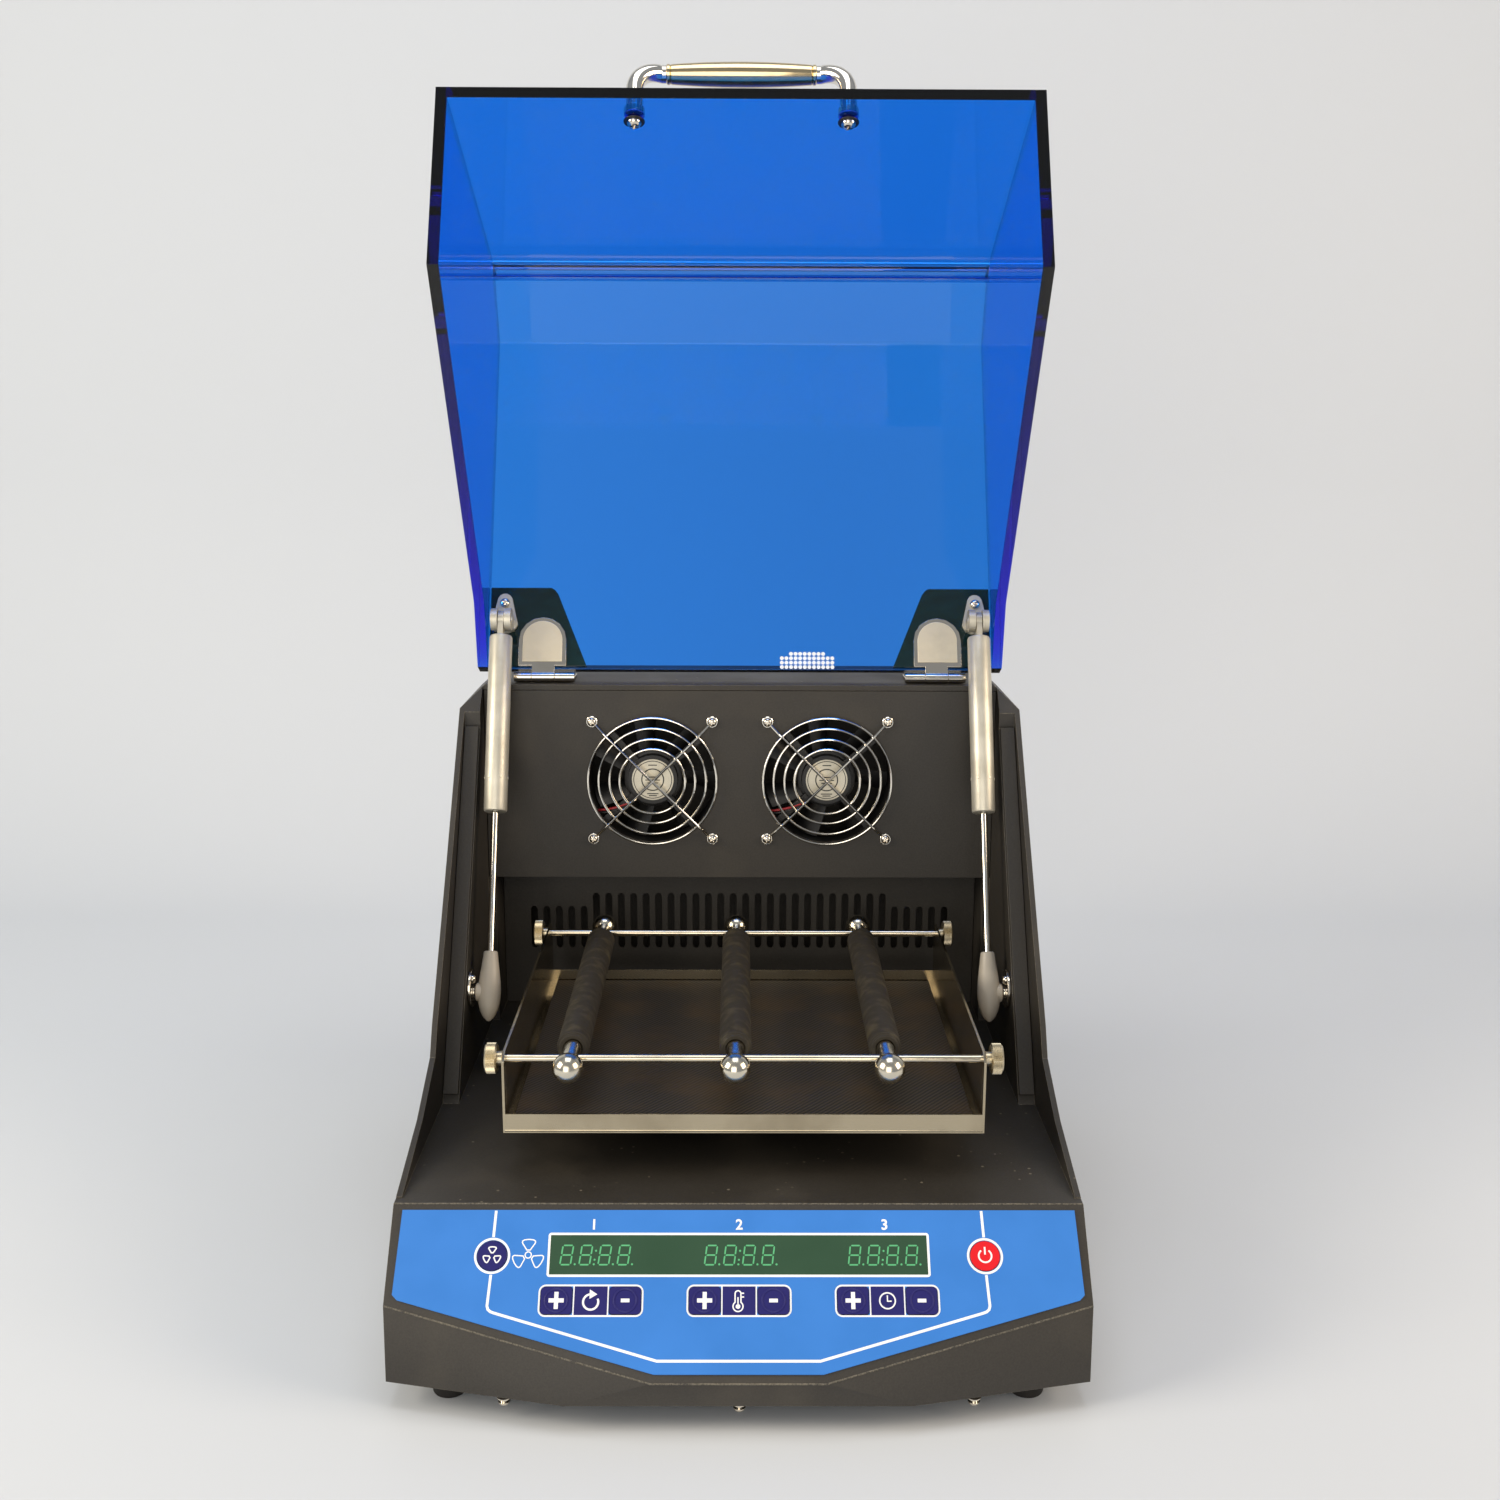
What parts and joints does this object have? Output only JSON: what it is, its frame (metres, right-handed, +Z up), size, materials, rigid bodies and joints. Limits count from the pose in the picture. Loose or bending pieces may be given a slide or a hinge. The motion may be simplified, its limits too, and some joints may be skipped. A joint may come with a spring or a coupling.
{
  "type": "incubated benchtop shaker",
  "caption": "Benchtop incubator shaker: dark sloping housing, tinted hinged lid on gas struts, orbiting tray with clamp bars, twin fans and a sloping membrane keypad.",
  "frame": {"origin": "centre of the footprint, on the bench surface under the feet", "axes": "+Z up, +X to the right seen from the front, the keypad side faces -Y"},
  "size_m": [0.328, 0.4166, 0.6349],
  "materials": {
    "powder": "fine-texture powder coat, near-black warm grey",
    "acrylic": "transparent blue-tinted acrylic sheet",
    "corner": "dark translucent acrylic",
    "stainless": "bright stainless sheet",
    "chrome": "polished plate",
    "satin": "satin grey-beige",
    "rubber": "matt black-brown",
    "socket": "grey-beige moulded plastic on a bright rod",
    "black": "black moulded plastic",
    "overlay": "printed blue membrane film",
    "window": "dark green display film",
    "key_navy": "navy key film",
    "key_red": "red key film",
    "alloy": "cast and machined alloy"
  },
  "bodies": {
    "chassis": {"base_pan": "powder", "control_overlay": "overlay", "display_window": "window", "drive_motor": "alloy", "duct_panel": "powder", "fan_frame_left": "black", "fan_frame_right": "black", "fan_guard_left": "chrome", "fan_guard_right": "chrome", "fan_wall": "powder", "foot_front_left": "rubber", "foot_front_right": "rubber", "foot_rear_left": "rubber", "foot_rear_right": "rubber", "hinge_base_leaf_left": "chrome", "hinge_base_leaf_right": "chrome", "housing_shell": "powder", "power_inlet": "black", "seal_left": "powder", "seal_right": "powder", "strut_bracket_left": "chrome", "strut_bracket_right": "chrome"},
    "lid": {"corner_plate_left": "corner", "corner_plate_right": "corner", "hinge_lid_leaf_left": "chrome", "hinge_lid_leaf_right": "chrome", "lid_cover": "acrylic", "lid_handle": "chrome", "strut_fork_left": "satin", "strut_fork_right": "satin"},
    "crank": {"drive_crank": "alloy"},
    "platform": {"tray": "stainless", "tray_mat": "rubber", "rail_front": "chrome", "rail_rear": "chrome"},
    "strut_tube_left": {"strut_tube_left": "satin"},
    "strut_rod_left": {"strut_rod_left": "socket"},
    "strut_tube_right": {"strut_tube_right": "satin"},
    "strut_rod_right": {"strut_rod_right": "socket"},
    "bar_left": {"clamp_bar_left": "chrome", "bar_sleeve_left": "rubber"},
    "bar_middle": {"clamp_bar_middle": "chrome", "bar_sleeve_middle": "rubber"},
    "bar_right": {"clamp_bar_right": "chrome", "bar_sleeve_right": "rubber"},
    "knob_front_left": {"knob_front_left": "satin"},
    "knob_front_right": {"knob_front_right": "satin"},
    "knob_rear_left": {"knob_rear_left": "satin"},
    "knob_rear_right": {"knob_rear_right": "satin"},
    "fan_impeller_left": {"fan_impeller_left": "black"},
    "fan_impeller_right": {"fan_impeller_right": "black"},
    "key_fan": {"key_fan": "key_navy"},
    "key_speed_down": {"key_speed_down": "key_navy"},
    "key_speed_up": {"key_speed_up": "key_navy"},
    "key_start": {"key_start": "key_red"},
    "key_temp_down": {"key_temp_down": "key_navy"},
    "key_temp_up": {"key_temp_up": "key_navy"},
    "key_time_down": {"key_time_down": "key_navy"},
    "key_time_up": {"key_time_up": "key_navy"},
    "rocker": {"power_rocker": "black"}
  },
  "joints": [
    {"name": "lid_hinge", "type": "hinge", "parent": "chassis", "child": "lid", "pos_m": [0, 0.10634, 0.2993], "axis": [1, 0, 0], "range_deg": [0, 116.8]},
    {"name": "strut_left_swing", "type": "hinge", "parent": "lid", "child": "strut_tube_left", "pos_m": [-0.141, 0.10608, 0.33357], "axis": [1, 0, 0], "range_deg": [-115.51, 0.5]},
    {"name": "strut_left_slide", "type": "slide", "parent": "strut_tube_left", "child": "strut_rod_left", "axis": [0, -0.4177, -0.9086], "range_m": [-0.05884, 0.0005]},
    {"name": "strut_right_swing", "type": "hinge", "parent": "lid", "child": "strut_tube_right", "pos_m": [0.141, 0.10608, 0.33357], "axis": [1, 0, 0], "range_deg": [-115.51, 0.5]},
    {"name": "strut_right_slide", "type": "slide", "parent": "strut_tube_right", "child": "strut_rod_right", "axis": [0, -0.4177, -0.9086], "range_m": [-0.05884, 0.0005]},
    {"name": "orbit_spin", "type": "hinge", "parent": "chassis", "child": "crank", "pos_m": [0, -0.00703, 0.087], "axis": [0, 0, 1], "continuous": true},
    {"name": "platform_turn", "type": "hinge", "parent": "crank", "child": "platform", "pos_m": [0.0024, -0.01466, 0.1106], "axis": [0, 0, 1], "continuous": true},
    {"name": "bar_left_slide", "type": "slide", "parent": "platform", "child": "bar_left", "axis": [1, 0, 0], "range_m": [-0.02, 0.028]},
    {"name": "bar_middle_slide", "type": "slide", "parent": "platform", "child": "bar_middle", "axis": [1, 0, 0], "range_m": [-0.028, 0.028]},
    {"name": "bar_right_slide", "type": "slide", "parent": "platform", "child": "bar_right", "axis": [1, 0, 0], "range_m": [-0.028, 0.028]},
    {"name": "knob_front_left_turn", "type": "hinge", "parent": "platform", "child": "knob_front_left", "pos_m": [-0.11535, -0.11586, 0.1459], "axis": [1, 0, 0], "continuous": true},
    {"name": "knob_front_right_turn", "type": "hinge", "parent": "platform", "child": "knob_front_right", "pos_m": [0.12015, -0.11586, 0.1459], "axis": [1, 0, 0], "continuous": true},
    {"name": "knob_rear_left_turn", "type": "hinge", "parent": "platform", "child": "knob_rear_left", "pos_m": [-0.11535, 0.08784, 0.1459], "axis": [1, 0, 0], "continuous": true},
    {"name": "knob_rear_right_turn", "type": "hinge", "parent": "platform", "child": "knob_rear_right", "pos_m": [0.12015, 0.08784, 0.1459], "axis": [1, 0, 0], "continuous": true},
    {"name": "fan_left_spin", "type": "hinge", "parent": "chassis", "child": "fan_impeller_left", "pos_m": [-0.0522, 0.11294, 0.2383], "axis": [0, 1, 0], "continuous": true},
    {"name": "fan_right_spin", "type": "hinge", "parent": "chassis", "child": "fan_impeller_right", "pos_m": [0.0522, 0.11294, 0.2383], "axis": [0, 1, 0], "continuous": true},
    {"name": "key_fan_press", "type": "slide", "parent": "chassis", "child": "key_fan", "axis": [0, 0.7373, -0.6756], "range_m": [0, 0.0004], "stiffness_N_per_m": 500},
    {"name": "key_speed_down_press", "type": "slide", "parent": "chassis", "child": "key_speed_down", "axis": [0, 0.7373, -0.6756], "range_m": [0, 0.0004], "stiffness_N_per_m": 500},
    {"name": "key_speed_up_press", "type": "slide", "parent": "chassis", "child": "key_speed_up", "axis": [0, 0.7373, -0.6756], "range_m": [0, 0.0004], "stiffness_N_per_m": 500},
    {"name": "key_start_press", "type": "slide", "parent": "chassis", "child": "key_start", "axis": [0, 0.7373, -0.6756], "range_m": [0, 0.0004], "stiffness_N_per_m": 500},
    {"name": "key_temp_down_press", "type": "slide", "parent": "chassis", "child": "key_temp_down", "axis": [0, 0.7373, -0.6756], "range_m": [0, 0.0004], "stiffness_N_per_m": 500},
    {"name": "key_temp_up_press", "type": "slide", "parent": "chassis", "child": "key_temp_up", "axis": [0, 0.7373, -0.6756], "range_m": [0, 0.0004], "stiffness_N_per_m": 500},
    {"name": "key_time_down_press", "type": "slide", "parent": "chassis", "child": "key_time_down", "axis": [0, 0.7373, -0.6756], "range_m": [0, 0.0004], "stiffness_N_per_m": 500},
    {"name": "key_time_up_press", "type": "slide", "parent": "chassis", "child": "key_time_up", "axis": [0, 0.7373, -0.6756], "range_m": [0, 0.0004], "stiffness_N_per_m": 500},
    {"name": "rocker_tilt", "type": "hinge", "parent": "chassis", "child": "rocker", "pos_m": [-0.036, 0.16784, 0.046], "axis": [1, 0, 0], "range_deg": [0, 7]}
  ],
  "couplings": [
    {"joint": "strut_left_swing", "follows": "lid_hinge", "ratio": -0.98037},
    {"joint": "strut_left_slide", "follows": "lid_hinge", "m_per_rad": -0.028375},
    {"joint": "strut_right_swing", "follows": "lid_hinge", "ratio": -0.98037},
    {"joint": "strut_right_slide", "follows": "lid_hinge", "m_per_rad": -0.028375},
    {"joint": "platform_turn", "follows": "orbit_spin", "ratio": -1}
  ]
}
